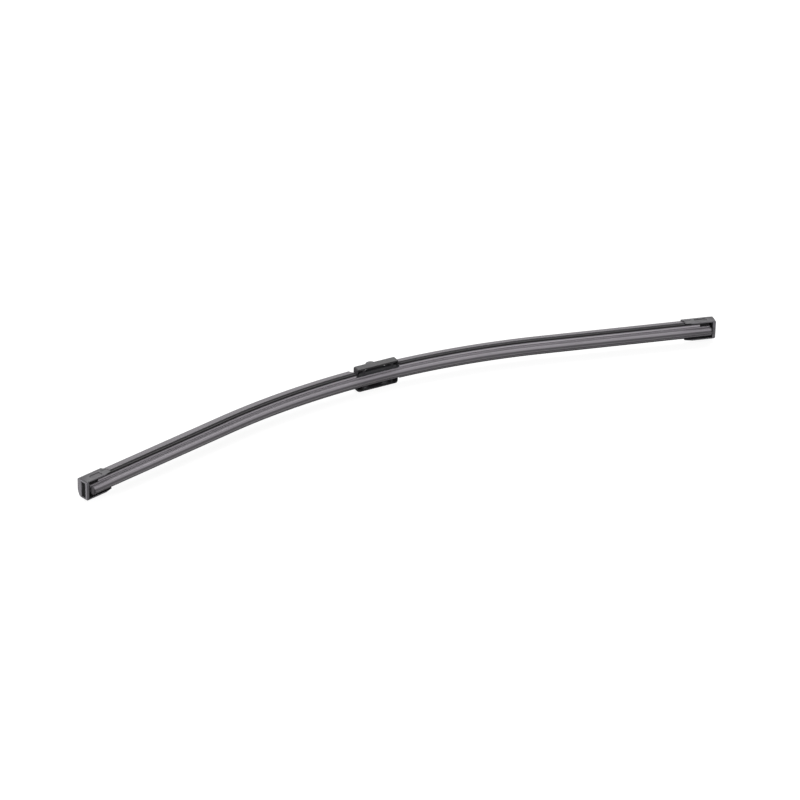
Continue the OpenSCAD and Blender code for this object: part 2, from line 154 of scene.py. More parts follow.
class RubberSizes(bpy.types.PropertyGroup):
    """The section of the wiping rubber."""

    inset: length("Inset", "Distance from a cap's outer end to the rubber's end", 0.004)
    head_w: length("Head width", "Width of the head above the rails", 0.0048)
    head_t: length("Head thickness", "Thickness of the head above the rails", 0.0011)
    head_clear: length("Head clearance", "Clearance between the head and its channel", 0.00015)
    flange_w: length("Flange width", "Width of the flange below the rails", 0.0052)
    flange_t: length("Flange thickness", "Thickness of the flange below the rails", 0.0012)
    neck_w: length("Neck thickness", "Thickness of the tilting neck", 0.0012)
    neck_h: length("Neck height", "Height of the tilting neck", 0.0011)
    shoulder_w: length("Shoulder width", "Width over the shoulders", 0.0057)
    shoulder_h: length("Shoulder height", "Height of the shoulders", 0.0034)
    shoulder_slope: length("Shoulder slope", "Height of the slope on top of the shoulders", 0.0006)
    shoulder_groove: length("Relief groove", "Depth of the relief groove along each shoulder", 0.00035)
    groove_rise: length("Groove height", "Height of the relief groove above the shoulders' lower edge", 0.001)
    taper_h: length("Taper height", "Height of the taper down to the lip", 0.0013)
    lip_root: length("Lip root", "Thickness of the lip where it leaves the taper", 0.0013)
    lip_w: length("Lip thickness", "Thickness of the lip at its wiping edge", 0.0008)
    lip_h: length("Lip height", "Height of the lip", 0.0014)
    edge: length("Chamfer", "Chamfer along the small edges", 0.0003)
    fillet: length("Fillet", "Radius of the rubber's outer corners", 0.00014)


class SpoilerSizes(bpy.types.PropertyGroup):
    """The section of the two spoilers."""

    inner_end: length("Inner end", "Distance along the blade from its middle to a spoiler's inner end", 0.01875)
    outer_inset: length("Outer inset", "Distance from a cap's outer end to a spoiler's outer end", 0.0125)
    wing_span: length("Width", "Width over the wings", 0.0133)
    claw_w: length("Claw width", "Width over the claws", 0.0126)
    claw_t: length("Claw thickness", "Thickness of a claw under its rail", 0.00105)
    claw_reach: length("Claw reach", "How far a claw reaches in under its rail", 0.0014)
    ridge_h: length("Ridge height", "Height of the ridge above the underside of the rails", 0.0104)
    ridge_w: length("Ridge width", "Width of the ridge", 0.0013)
    ridge_offset: length("Ridge offset", "Distance of the ridge from the middle of the width", 0.003)
    steep_hollow: length("Steep hollow", "How far the steep flank is hollowed", 0.00035)
    long_hollow: length("Long hollow", "How far the long flank is hollowed", 0.0019)
    groove_h: length("Side groove", "Height of the groove along each side", 0.0014)
    groove_wall: length("Groove wall", "Wall left between the side groove and the rail", 0.00055)
    groove_drop: length("Groove drop", "How far the side groove reaches below the top of the rails", 0.00085)
    wing_t: length("Wing thickness", "Thickness of a wing at its edge", 0.00055)
    edge: length("Chamfer", "Chamfer along the small edges", 0.0003)
    fillet: length("Fillet", "Radius of the spoiler's outer corners", 0.00022)


class MouldingSizes(bpy.types.PropertyGroup):
    """The end caps' end walls, the pin's heads, and the edge radii of the moulded and the pressed pieces."""

    cap_edge: length("Cap edge", "Radius along the edges of an end cap", 0.00028)
    cap_inner_w: length("Cap inner width", "Width between the side walls of an end cap", 0.01354)
    cap_rim: length("Cap rim", "How far the side rims of an end cap reach below the claws", 0.0016)
    plate_t: length("End plate", "Thickness of the lower part of an end cap's end wall", 0.0024)
    plate_h: length("End plate height", "Height above the rails' underside up to which the wall is so thick", 0.0038)
    panel_w: length("Panel width", "Width of the sunk panel in an end cap's end wall", 0.0124)
    panel_rim: length("Panel rim", "Height of the rim below the panel", 0.0013)
    panel_h: length("Panel height", "Top of the panel above the rails' underside", 0.0032)
    panel_depth: length("Panel depth", "How deep the panel is sunk", 0.0017)
    # Top of the painted shade inside an end cap.
    cap_shade_h: length("Shade height", "Height above the rails' underside up to which shade is painted in a cap", 0.0044)
    cover_edge: length("Cover edge", "Radius along the edges of the connector's cover", 0.00028)
    bracket_edge: length("Bracket edge", "Radius along the edges of the pressed bracket", 0.00018)
    head_step: length("Head step", "How far the pin's heads stand out round its shank", 0.0008)
    head_t: length("Head thickness", "Thickness of the pin's heads", 0.0008)
    head_dome: length("Head dome", "Rise of the pin's domed heads", 0.00025)
    head_dimple: length("Rivet dimple", "Radius of the dimple in the pin's heads", 0.0009)
    pin_sides: IntProperty(name="Pin sides", description="Sides round the pin", default=96, min=12)


class Finishes(bpy.types.PropertyGroup):
    """Colours of the finishes."""

    lip_rubber: tint("Wiping rubber", "Colour of the wiping rubber", (0.098, 0.092, 0.100))
    spoiler_rubber: tint("Spoiler rubber", "Colour of the spoilers", (0.125, 0.118, 0.127))
    cap_plastic: tint("Cap plastic", "Colour of the end caps", (0.049, 0.047, 0.051))
    cover_plastic: tint("Cover plastic", "Colour of the connector's cover", (0.020, 0.019, 0.021))
    rail_coat: tint("Rail coat", "Colour of the black coat of the spring rails", (0.030, 0.030, 0.032))
    bracket_paint: tint("Bracket paint", "Colour of the bracket's black coat", (0.030, 0.030, 0.032))
    pin_coat: tint("Pin coat", "Colour of the pivot pin's coat", (0.040, 0.040, 0.043))


class Surfaces(bpy.types.PropertyGroup):
    """How rough, glossy and fine the finishes are, and how strongly the painted light and shade show on them."""

    lip_rough: share("Wiping rubber roughness", "Roughness of the wiping rubber", 0.5)
    lip_gloss: share("Wiping rubber gloss", "Strength of the wiping rubber's reflections", 0.2)
    lip_lines: share("Wiping rubber lines", "Fineness of the wiping rubber's die lines", 1500.0)
    lip_grain: share("Wiping rubber grain", "Fineness of the wiping rubber's grain", 5200.0)
    spoiler_rough: share("Spoiler roughness", "Roughness of the spoilers", 0.56)
    spoiler_gloss: share("Spoiler gloss", "Strength of the spoilers' reflections", 0.15)
    spoiler_lines: share("Spoiler lines", "Fineness of the spoilers' die lines", 900.0)
    spoiler_grain: share("Spoiler grain", "Fineness of the spoilers' grain", 4200.0)
    plastic_rough: share("Plastic roughness", "Roughness of the moulded plastic", 0.5)
    plastic_gloss: share("Plastic gloss", "Strength of the moulded plastic's reflections", 0.28)
    coat_rough: share("Coat roughness", "Roughness of the black coat on the rails and the bracket", 0.45)
    pin_rough: share("Pin roughness", "Roughness of the pivot pin's coat", 0.5)
    coat_gloss: share("Coat gloss", "Strength of the coats' reflections", 0.35)
    # Painted shade in the spoilers' side grooves and a painted highlight on their claws.
    groove_shade: share("Groove shade", "How much painted shade darkens the spoilers' side grooves", 0.88)
    claw_highlight: share("Claw highlight", "How much paler a painted highlight makes the spoilers' claws", 1.7)
    # Painted highlights on the rubber's shoulders and flange, painted shade on its lip and its cut ends.
    shoulder_highlight: share("Shoulder highlight", "How much paler the rubber's shoulders are below", 0.9)
    lip_shade: share("Lip shade", "How much darker the rubber's lip is", 0.45)
    flange_highlight: share("Flange highlight", "How much paler the rubber's flange is", 1.5)
    cut_end_shade: share("Cut end shade", "How much darker the rubber's cut ends are", 0.75)
    # Painted shade inside the end caps, the roughness it raises, and painted highlights on the caps' ends and feet.
    cap_shade: share("Cap shade", "How much painted shade darkens the inside of the end caps", 0.9)
    shade_rough: share("Shade roughness", "How much rougher the plastic is where painted shade darkens it", 0.45)
    cap_end_highlight: share("Cap end highlight", "How much paler a painted highlight makes the end caps' outer ends", 1.5)
    cap_foot_highlight: share("Cap foot highlight", "How much paler a painted highlight makes the end caps' feet", 1.1)


class Studio(bpy.types.PropertyGroup):
    """The camera, the lamps and the floor."""

    azimuth: FloatProperty(name="Azimuth", description="Direction that the camera looks from",
                           default=math.radians(-29.045), subtype="ANGLE")
    elevation: FloatProperty(name="Elevation", description="Height of the camera above the horizon",
                             default=math.radians(29.286), subtype="ANGLE")
    roll: FloatProperty(name="Roll", description="Turn of the camera about its own line of sight",
                        default=math.radians(1.11), subtype="ANGLE")
    distance: length("Distance", "Distance from the camera to the blade's middle", 3.1267)
    focal: FloatProperty(name="Focal length", description="Focal length of the lens, in millimetres", default=185.82,
                         unit="CAMERA")
    aim_right: length("Aim right", "How far the camera aims to the right of the blade's middle", 0.01709)
    aim_down: length("Aim down", "How far the camera aims below the blade's middle", 0.01238)
    floor_colour: tint("Floor", "Colour that the floor lights the blade with", (0.38, 0.38, 0.38))
    floor_glow: FloatProperty(name="Floor glow", description="Light that the floor adds where the camera sees it",
                              default=0.85, min=0.0)
    floor_shade: FloatProperty(name="Floor shade", description="Strength of the shadows seen on the floor",
                               default=0.2, min=0.0, max=1.0)
    floor_size: length("Floor size", "Side of the square floor", 12.0)
    key_power: FloatProperty(name="Key lamp", description="Power of the overhead softbox", default=62.0, unit="POWER")
    front_power: FloatProperty(name="Front lamp", description="Power of the softbox by the camera", default=28.0,
                               unit="POWER")
    side_power: FloatProperty(name="Side lamp", description="Power of the softbox at the side", default=30.0,
                              unit="POWER")
    sky: FloatProperty(name="Sky", description="Strength of the even light from all sides", default=0.32, min=0.0)


# Sections ---------------------------------------------------------------------------------------------------


def mirrored(half):
    """The same outline on the other side of the width, in reverse order."""
    return [(v, -u) for v, u in reversed(half)]


def flank(start, end, hollow, steps=12):
    """Points from start to end, hollowed towards the inside."""
    run = (end[0] - start[0], end[1] - start[1])
    span = math.hypot(*run)
    side = (-run[1] / span * hollow, run[0] / span * hollow)
    points = []
    for i in range(steps + 1):
        f = i / steps
        bulge = 4 * f * (1 - f)
        points.append((start[0] + run[0] * f + side[0] * bulge, start[1] + run[1] * f + side[1] * bulge))
    return points


def anticlockwise(points):
    """The same closed outline, in the direction that turns a sweep's faces outwards."""
    area = sum(a[0] * b[1] - b[0] * a[1] for a, b in zip(points, points[1:] + points[:1]))
    return points if area > 0 else points[::-1]


def rounded(points, radius, steps=3):
    """A closed outline whose outward corners are arcs; gentle bends and inward corners stay as they are."""
    points = anticlockwise(points)
    result = []
    for i, here in enumerate(points):
        before, after = points[i - 1], points[(i + 1) % len(points)]
        a = Vector((here[0] - before[0], here[1] - before[1]))
        b = Vector((after[0] - here[0], after[1] - here[1]))
        angle = math.atan2(a.x * b.y - a.y * b.x, a.dot(b))
        if angle < ROUND_FROM:
            result.append(here)
            continue
        cut = min(radius * math.tan(angle / 2), ROUND_REACH * a.length, ROUND_REACH * b.length)
        arc_r = cut / math.tan(angle / 2)
        a.normalize()
        b.normalize()
        start = Vector(here) - a * cut
        inward = Vector((-a.y, a.x))
        centre = start + inward * arc_r
        spoke = -inward * arc_r
        for k in range(steps + 1):
            t = angle * k / steps
            x = spoke.x * math.cos(t) - spoke.y * math.sin(t)
            y = spoke.x * math.sin(t) + spoke.y * math.cos(t)
            result.append(tuple(centre + Vector((x, y))))
    return result


def rail_room(rails):
    """Inner and outer side of a rail, and the sides, the top and the bottom of the room it runs in."""
    inner = rails.rail_gap / 2
    outer = inner + rails.rail_w
    return inner, outer, outer + rails.rail_clear, rails.rail_t + rails.rail_clear, -rails.rail_clear


def rubber_section(rubber, rails):
    """Outline of the wiping rubber: height above the rails' underside, then place across the width."""
    inner, _, _, room_top, room_bottom = rail_room(rails)
    flange_bottom = room_bottom - rubber.flange_t
    neck_bottom = flange_bottom - rubber.neck_h
    shoulder_bottom = neck_bottom - rubber.shoulder_h
    taper_bottom = shoulder_bottom - rubber.taper_h
    groove = shoulder_bottom + rubber.groove_rise
    wide, slot, edge = rubber.shoulder_w / 2, inner - rails.rail_clear, rubber.edge
    half = [
        (taper_bottom - rubber.lip_h, rubber.lip_w / 2),
        (taper_bottom, rubber.lip_root / 2),
        (shoulder_bottom, wide - edge),
        (shoulder_bottom + edge, wide),
        (groove, wide),
        (groove + rubber.shoulder_groove, wide - rubber.shoulder_groove),
        (groove + 2 * rubber.shoulder_groove, wide),
        (neck_bottom - rubber.shoulder_slope, wide),
        (neck_bottom, wide - rubber.shoulder_slope),
        (neck_bottom, rubber.neck_w / 2),
        (flange_bottom, rubber.neck_w / 2),
        (flange_bottom, rubber.flange_w / 2 - edge),
        (flange_bottom + edge, rubber.flange_w / 2),
        (room_bottom, rubber.flange_w / 2),
        (room_bottom, slot),
        (room_top, slot),
        (room_top, rubber.head_w / 2),
        (room_top + rubber.head_t - edge, rubber.head_w / 2),
        (room_top + rubber.head_t, rubber.head_w / 2 - edge),
    ]
    return rounded(half + mirrored(half), rubber.fillet)


def spoiler_section(spoiler, rubber, rails):
    """Outline of a spoiler, with the channel for the rails and the rubber's head."""
    _, outer, room_out, room_top, room_bottom = rail_room(rails)
    channel_top = room_top + rubber.head_t + rubber.head_clear
    channel_side = rubber.head_w / 2 + rubber.head_clear
    claw_in, claw_bottom = outer - spoiler.claw_reach, room_bottom - spoiler.claw_t
    groove_bottom = room_top - spoiler.groove_drop
    groove_top = groove_bottom + spoiler.groove_h
    groove_in, wing_top = room_out + spoiler.groove_wall, groove_top + spoiler.wing_t
    wing, claw, edge = spoiler.wing_span / 2, spoiler.claw_w / 2, spoiler.edge
    channel = [
        (channel_top, channel_side), (room_top, channel_side), (room_top, room_out),
        (room_bottom, room_out), (room_bottom, claw_in), (claw_bottom, claw_in),
    ]
    side = [
        (claw_bottom, claw - edge), (claw_bottom + edge, claw), (groove_bottom, claw),
        (groove_bottom, groove_in), (groove_top, groove_in), (groove_top, wing),
    ]
    head, near, far = spoiler.ridge_h - edge, spoiler.ridge_w / 2, spoiler.ridge_w / 4
    crest = (
        flank((wing_top, wing), (head, spoiler.ridge_offset + near), -spoiler.steep_hollow)
        + [(spoiler.ridge_h, spoiler.ridge_offset + far), (spoiler.ridge_h, spoiler.ridge_offset - far)]
        + flank((head, spoiler.ridge_offset - near), (wing_top, -wing), -spoiler.long_hollow)
    )
    return rounded(mirrored(channel) + channel + side + crest + mirrored(side), spoiler.fillet)


# Node expressions -------------------------------------------------------------------------------------------


class Term:
    """A value socket in an expression: each operator adds the Math node that works it out."""

    def __init__(self, graph, socket):
        self.graph, self.socket = graph, socket

    def math(self, operation, *others):
        return self.graph.add("ShaderNodeMath", {"operation": operation}, [self, *others])

    def __add__(self, other):
        return self.math("ADD", other)

    def __sub__(self, other):
        return self.math("SUBTRACT", other)

    def __rsub__(self, other):
        return self.graph.add("ShaderNodeMath", {"operation": "SUBTRACT"}, [other, self])

    def __mul__(self, other):
        return self.math("MULTIPLY", other)

    def __truediv__(self, other):
        return self.math("DIVIDE", other)

    __radd__, __rmul__ = __add__, __mul__


class Nodes:
    """A node tree under construction."""

    def __init__(self, tree):
        self.tree = tree

    def link(self, value, socket):
        if isinstance(value, Term):
            self.tree.links.new(value.socket, socket)
        else:
            socket.default_value = value

    def add(self, kind, settings=None, sockets=None, output=0):
        """Adds one node: its settings first, then its sockets by place or by name."""
        node = self.tree.nodes.new(kind)
        for key, value in (settings or {}).items():
            setattr(node, key, value)
        pairs = enumerate(sockets or []) if not isinstance(sockets, dict) else sockets.items()
        for key, value in pairs:
            self.link(value, node.inputs[key])
        return Term(self, node.outputs[output]) if node.outputs else None

    def parts(self, vector):
        """The three coordinates of a vector."""
        outputs = self.add("ShaderNodeSeparateXYZ", {}, [vector]).socket.node.outputs
        return [Term(self, socket) for socket in outputs]


class Graph(Nodes):
    """The node tree of one finish."""

    def __init__(self, name):
        self.material = bpy.data.materials.new(name)
        self.material.use_nodes = True
        super().__init__(self.material.node_tree)
        self.tree.nodes.clear()

    def noise(self, place, scale, detail=3.0, roughness=0.55):
        return self.add("ShaderNodeTexNoise", {}, {"Vector": place, "Scale": scale, "Detail": detail,
                                                   "Roughness": roughness})

    def stretched(self, place, scale):
        return self.add("ShaderNodeMapping", {}, {"Vector": place, "Scale": scale})

    def fade(self, value, start, end):
        """Rises smoothly from 0 to 1 while the value goes from start to end."""
        return self.add("ShaderNodeMapRange", {"interpolation_type": "SMOOTHSTEP"},
                        {"Value": value, "From Min": start, "From Max": end})

    def strength(self, colour, gain):
        return self.add("ShaderNodeVectorMath", {"operation": "SCALE"}, {"Vector": colour, "Scale": gain})

    def ramp(self, factor, start, end):
        """Rises evenly from 0 to 1 while the factor goes from start to end."""
        result = self.add("ShaderNodeValToRGB", {}, {"Fac": factor})
        low, high = result.socket.node.color_ramp.elements
        low.position, high.position = start, end
        return result

    def blend(self, factor, low, high):
        return self.add("ShaderNodeMix", {"data_type": "RGBA"}, {0: factor, 6: low, 7: high}, output=2)

    def bump(self, height, distance, strength):
        return self.add("ShaderNodeBump", {}, {"Height": height, "Distance": distance, "Strength": strength})

    def finish(self, **sockets):
        """Ends the tree in a Principled shader; names are written with underscores."""
        named = {key.replace("_", " "): value for key, value in sockets.items()}
        shader = self.add("ShaderNodeBsdfPrincipled", {}, named)
        self.add("ShaderNodeOutputMaterial", {}, {"Surface": shader})
        return self.material


def shade(colour, gain):
    """A colour made lighter or darker, with alpha."""
    return (*(min(1.0, c * gain) for c in colour), 1.0)


def spoiler_painted_light(g, _, height, side, scene):
    """Painted shade in and beside a spoiler's side grooves, and a painted highlight that makes the claws paler along
    their inner half.
    """
    spoiler, looks = scene.wiper_spoiler, scene.wiper_surfaces
    _, outer, _, room_top, _ = rail_room(scene.wiper_rails)
    roof = room_top - spoiler.groove_drop + spoiler.groove_h
    claw, soft = spoiler.claw_w / 2, spoiler.edge
    # Painted shade in the side groove and on the claw's outer part below it.
    groove_shadow = g.fade(height, roof + soft / 2, roof - soft / 2) * g.fade(side, outer + soft, outer + 2 * soft)
    groove_shadow = groove_shadow * (1.0 - g.fade(side, claw + soft / 2, claw + soft))
    # Painted highlight on the inner half of each claw's underside.
    claw_light = g.fade(height, 0.0, -2 * soft) * g.fade(side, outer + soft, outer - soft)
    return 1.0 - groove_shadow * looks.groove_shade + claw_light * looks.claw_highlight


def rubber_painted_light(g, along, height, _, scene):
    """Painted highlight that makes the shoulders paler towards their lower edge, painted shade on the lip below, a
    painted highlight on the flange, and painted shade at the cut ends.
    """
    rubber, looks = scene.wiper_rubber, scene.wiper_surfaces
    _, _, _, _, room_bottom = rail_room(scene.wiper_rails)
    neck_bottom = room_bottom - rubber.flange_t - rubber.neck_h
    low = neck_bottom - rubber.shoulder_h
    # Painted highlight on the shoulders, strongest towards their lower edge.
    bloom = g.fade(height, neck_bottom - 3 * rubber.edge, low + 3 * rubber.edge)
    # Painted shade on the taper and the lip below the shoulders.
    lip = g.fade(height, low - rubber.edge, low - 3 * rubber.edge)
    # Painted highlight on the flange.
    flange = g.fade(height, neck_bottom + rubber.edge, neck_bottom + rubber.neck_h)
    # Painted shade on the rubber near its cut ends, inside the caps.
    end = scene.wiper_curve.blade_len / 2 - rubber.inset
    cut = g.fade(along, end - 5 * rubber.edge, end - rubber.edge)
    tone = 1.0 + bloom * (1.0 - lip) * looks.shoulder_highlight - lip * looks.lip_shade + flange * looks.flange_highlight
    return tone * (1.0 - cut * looks.cut_end_shade)


def extruded_rubber(name, colour, lines, grain, roughness, gloss, painted_light, scene):
    """Extruded rubber: die lines along the length, a powdery bloom, a fine grain, and the piece's own painted
    highlights and painted shade.
    """
    g = Graph(name)
    straight = g.add("ShaderNodeAttribute", {"attribute_name": "straight"}, output=1)
    along, height, side = g.parts(straight)
    along, side = along.math("ABSOLUTE"), side.math("ABSOLUTE")
    die_lines = g.noise(g.stretched(straight, (1.2, lines, lines)), 1.0, 4.0, 0.6)
    bloom = g.noise(g.stretched(straight, (22.0, 160.0, 160.0)), 1.0, 5.0, 0.6)
    powder = g.noise(straight, grain, 2.0)
    tone = die_lines * 0.55 + bloom * 0.3 + powder * 0.15
    clean = g.blend(g.ramp(tone, *SPREAD), shade(colour, 0.84), shade(colour, 1.18))
    # Painted highlights and painted shade scale the colour band by band.
    base = g.strength(clean, painted_light(g, along, height, side, scene))
    rough = roughness + (bloom - 0.5) * 0.16 + (die_lines - 0.5) * 0.12
    normal = g.bump(die_lines * 0.7 + powder * 0.3, *RUBBER_RELIEF)
    return g.finish(Base_Color=base, Roughness=rough, Normal=normal, Specular_IOR_Level=gloss)


def cap_foot(scene):
    """Height of an end cap's feet over the rails' underside."""
    _, _, _, _, room_bottom = rail_room(scene.wiper_rails)
    return room_bottom - scene.wiper_spoiler.claw_t - scene.wiper_mouldings.cap_rim


def tip_run(curve):
    """Sine and cosine of the turn from the blade's middle to a tip, and the length of the straight run there."""
    angle = curve.arc_len / 2 / curve.bend_r
    return math.sin(angle), math.cos(angle), (curve.blade_len - curve.arc_len) / 2


def cap_painted_light(g, place, scene):
    """Painted shade inside an end cap and in its end's sunk panel, and painted highlights that make its outer end and
    its feet paler.
    """
    curve, sizes, looks = scene.wiper_curve, scene.wiper_mouldings, scene.wiper_surfaces
    sine, cosine, tip = tip_run(curve)
    x, y, z = g.parts(place)
    x, y, z = x.math("ABSOLUTE"), y - (PIN.y - curve.pin_h - curve.bend_r), (z - PIN.z).math("ABSOLUTE")
    along = x * cosine - y * sine
    height = x * sine + y * cosine - curve.bend_r
    wall, edge, shade_h = sizes.cap_inner_w / 2, sizes.cap_edge, sizes.cap_shade_h
    end, foot = tip - sizes.panel_depth, cap_foot(scene)
    # Painted shade inside the cap's hollow and its sunk panel, up to a set height above the feet.
    inside = g.fade(z, wall + 2 * edge, wall + edge) * g.fade(along, end + 2 * edge, end + edge)
    inside = inside * g.fade(height, shade_h + edge, shade_h - edge) * g.fade(height, foot + edge, foot + 2 * edge)
    # Painted highlights on the cap's outer end and on its feet.
    end_highlight = g.fade(along, tip - 2 * edge, tip - edge) * looks.cap_end_highlight
    foot_highlight = g.fade(height, foot + 2 * edge, foot + edge) * looks.cap_foot_highlight
    return 1.0 - inside * looks.cap_shade + (end_highlight + foot_highlight)


def moulded_plastic(name, colour, scene, painted_light=None):
    """Moulded plastic: a spark-eroded grain, faint flow marks and, where given, its own painted highlights and
    painted shade.
    """
    looks = scene.wiper_surfaces
    g = Graph(name)
    place = g.add("ShaderNodeTexCoord", output=3)
    grain = g.noise(place, 2600.0, 3.0, 0.6)
    flow = g.noise(g.stretched(place, (60.0, 140.0, 140.0)), 1.0, 3.0)
    tone = g.ramp(grain * 0.4 + flow * 0.6, *SPREAD)
    base = g.blend(tone, shade(colour, 0.88), shade(colour, 1.14))
    rough = looks.plastic_rough + (flow - 0.5) * 0.14 + (grain - 0.5) * 0.10
    if painted_light:
        # Painted highlights and painted shade scale the colour; where painted shade darkens it, the plastic is also
        # made rougher.
        gain = painted_light(g, place, scene)
        base = g.strength(base, gain)
        # The plastic is made rougher where painted shade darkens it.
        rough = rough + (1.0 - gain.math("MINIMUM", 1.0)) * looks.shade_rough
    normal = g.bump(grain, *PLASTIC_RELIEF)
    return g.finish(Base_Color=base, Roughness=rough, Normal=normal, Specular_IOR_Level=looks.plastic_gloss)


def coated_steel(name, colour, roughness, gloss):
    """Steel under a thin black coat, with the coat's orange peel."""
    g = Graph(name)
    place = g.add("ShaderNodeTexCoord", output=3)
    peel = g.noise(place, 900.0, 2.0)
    cloud = g.noise(place, 120.0, 3.0)
    base = g.blend(g.ramp(cloud, *COAT_SPREAD), shade(colour, 0.85), shade(colour, 1.2))
    rough = roughness + (cloud - 0.5) * 0.16
    return g.finish(Base_Color=base, Roughness=rough, Normal=g.bump(peel, *COAT_RELIEF), Specular_IOR_Level=gloss)


# Geometry ---------------------------------------------------------------------------------------------------


class SweepTree(Nodes):
    """Geometry Nodes that carry a section along the blade's curve: an arc, then a straight run to each tip."""

    def __init__(self):
        super().__init__(bpy.data.node_groups.new("Blade sweep", "GeometryNodeTree"))
        self.ids = {}
        new_socket = self.tree.interface.new_socket
        new_socket(name="Geometry", in_out="INPUT", socket_type="NodeSocketGeometry")
        for name, kind in (("Start", "Float"), ("End", "Float"), ("Arc length", "Float"), ("Bend radius", "Float"),
                           ("Steps", "Int"), ("Crease angle", "Float"), ("Material", "Material")):
            self.ids[name] = new_socket(name=name, in_out="INPUT", socket_type="NodeSocket" + kind).identifier
        new_socket(name="Geometry", in_out="OUTPUT", socket_type="NodeSocketGeometry")
        outputs = self.tree.nodes.new("NodeGroupInput").outputs
        self.build({socket.name: Term(self, socket) for socket in outputs if socket.name})

    def build(self, given):
        add = self.add
        start, end = (add("ShaderNodeCombineXYZ", {}, [given[name]]) for name in ("Start", "End"))
        line = add("GeometryNodeCurvePrimitiveLine", {}, {"Start": start, "End": end})
        rail = add("GeometryNodeResampleCurve", {}, {"Curve": line, "Count": given["Steps"]})
        rail = add("GeometryNodeSetCurveNormal", {"mode": "Z_UP"}, {"Curve": rail})
        outline = add("GeometryNodeMeshToCurve", {}, {"Mesh": given["Geometry"]})
        prism = add("GeometryNodeCurveToMesh", {}, {"Curve": rail, "Profile Curve": outline, "Fill Caps": True})
        place = add("GeometryNodeInputPosition")
        kept = add("GeometryNodeStoreNamedAttribute", {"data_type": "FLOAT_VECTOR", "domain": "POINT"},
                   {"Geometry": prism, "Name": "straight", "Value": place})

        along, height, side = self.parts(place)
        half_arc, radius = given["Arc length"] * 0.5, given["Bend radius"]
        bent = along.math("MINIMUM", half_arc).math("MAXIMUM", half_arc * -1.0)
        angle = bent / radius
        sine, cosine = angle.math("SINE"), angle.math("COSINE")
        rest, reach = along - bent, radius + height
        x = reach * sine + rest * cosine
        y = reach * cosine - radius - rest * sine
        moved = add("ShaderNodeCombineXYZ", {}, [x, y, side])

        bend = add("GeometryNodeSetPosition", {}, {"Geometry": kept, "Position": moved})
        smooth = add("GeometryNodeSetShadeSmooth", {"domain": "FACE"}, {"Geometry": bend, "Shade Smooth": True})
        crease = add("GeometryNodeInputMeshEdgeAngle")
        sharp = add("FunctionNodeCompare", {"data_type": "FLOAT", "operation": "GREATER_THAN"},
                    [crease, given["Crease angle"]])
        creased = add("GeometryNodeSetShadeSmooth", {"domain": "EDGE"},
                      {"Geometry": smooth, "Selection": sharp, "Shade Smooth": False})
        real = add("GeometryNodeRealizeInstances", {}, {"Geometry": creased})
        painted = add("GeometryNodeSetMaterial", {}, {"Geometry": real, "Material": given["Material"]})
        add("NodeGroupOutput", {}, [painted])


def new_object(name, data):
    piece = bpy.data.objects.new(name, data)
    bpy.context.scene.collection.objects.link(piece)
    return piece


def mesh_of(bm, name, smooth=True):
    """A bmesh as a mesh whose faces are turned outwards; the bmesh goes."""
    bmesh.ops.recalc_face_normals(bm, faces=bm.faces)
    mesh = bpy.data.meshes.new(name)
    bm.to_mesh(mesh)
    bm.free()
    for face in mesh.polygons:
        face.use_smooth = smooth
    return mesh


def made_plain(draft, name, keep_sharp=True):
    """The draft's evaluated mesh, its normals weighted, as a plain object of its own; the draft goes."""
    weighted = draft.modifiers.new("Normals", "WEIGHTED_NORMAL")
    weighted.keep_sharp = keep_sharp
    bpy.context.view_layer.update()
    graph = bpy.context.evaluated_depsgraph_get()
    shown = draft.evaluated_get(graph)
    mesh = bpy.data.meshes.new_from_object(shown, preserve_all_data_layers=True, depsgraph=graph)
    bpy.data.meshes.remove(draft.data)
    mesh.name = name
    return new_object(name, mesh)


def volume(mesh):
    bm = bmesh.new()
    bm.from_mesh(mesh)
    result = bm.calc_volume(signed=True)
    bm.free()
    return result


def on_body(piece, node):
    """Checks that a piece fills its CAD node's place, then lets it ride and stand for the node."""
    if volume(piece.data) <= 0:
        raise RuntimeError(f"{piece.name} is inside out")
    low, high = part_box(node)
    corners = [Vector(corner) for corner in piece.bound_box]
    for axis in range(3):
        ends = min(c[axis] for c in corners), max(c[axis] for c in corners)
        if abs(ends[0] - low[axis]) > FIT or abs(ends[1] - high[axis]) > FIT:
            wanted = low[axis], high[axis]
            raise RuntimeError(f"{piece.name} isn't where {node} is: {ends} on axis {axis}, not {wanted}")
    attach(piece, BODY)
    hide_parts(node)


def swept(name, outline, start, end, curve, material, tree):
    """A section carried along the blade's curve from one distance off the middle to another."""
    mesh = bpy.data.meshes.new(name)
    points = [(-v, -u, 0.0) for v, u in outline]
    edges = [(i, (i + 1) % len(points)) for i in range(len(points))]
    mesh.from_pydata(points, edges, [])
    draft = new_object(name + "_draft", mesh)
    nodes = draft.modifiers.new("Sweep", "NODES")
    nodes.node_group = tree.tree
    values = {"Start": start, "End": end, "Arc length": curve.arc_len, "Bend radius": curve.bend_r,
              "Steps": round(abs(end - start) / curve.step) + 1, "Crease angle": CREASE_FROM, "Material": material}
    for key, value in values.items():
        nodes[tree.ids[key]] = value
    piece = made_plain(draft, name)
    piece.data.transform(Matrix.Translation(Vector((0.0, PIN.y - curve.pin_h, PIN.z))))
    return piece


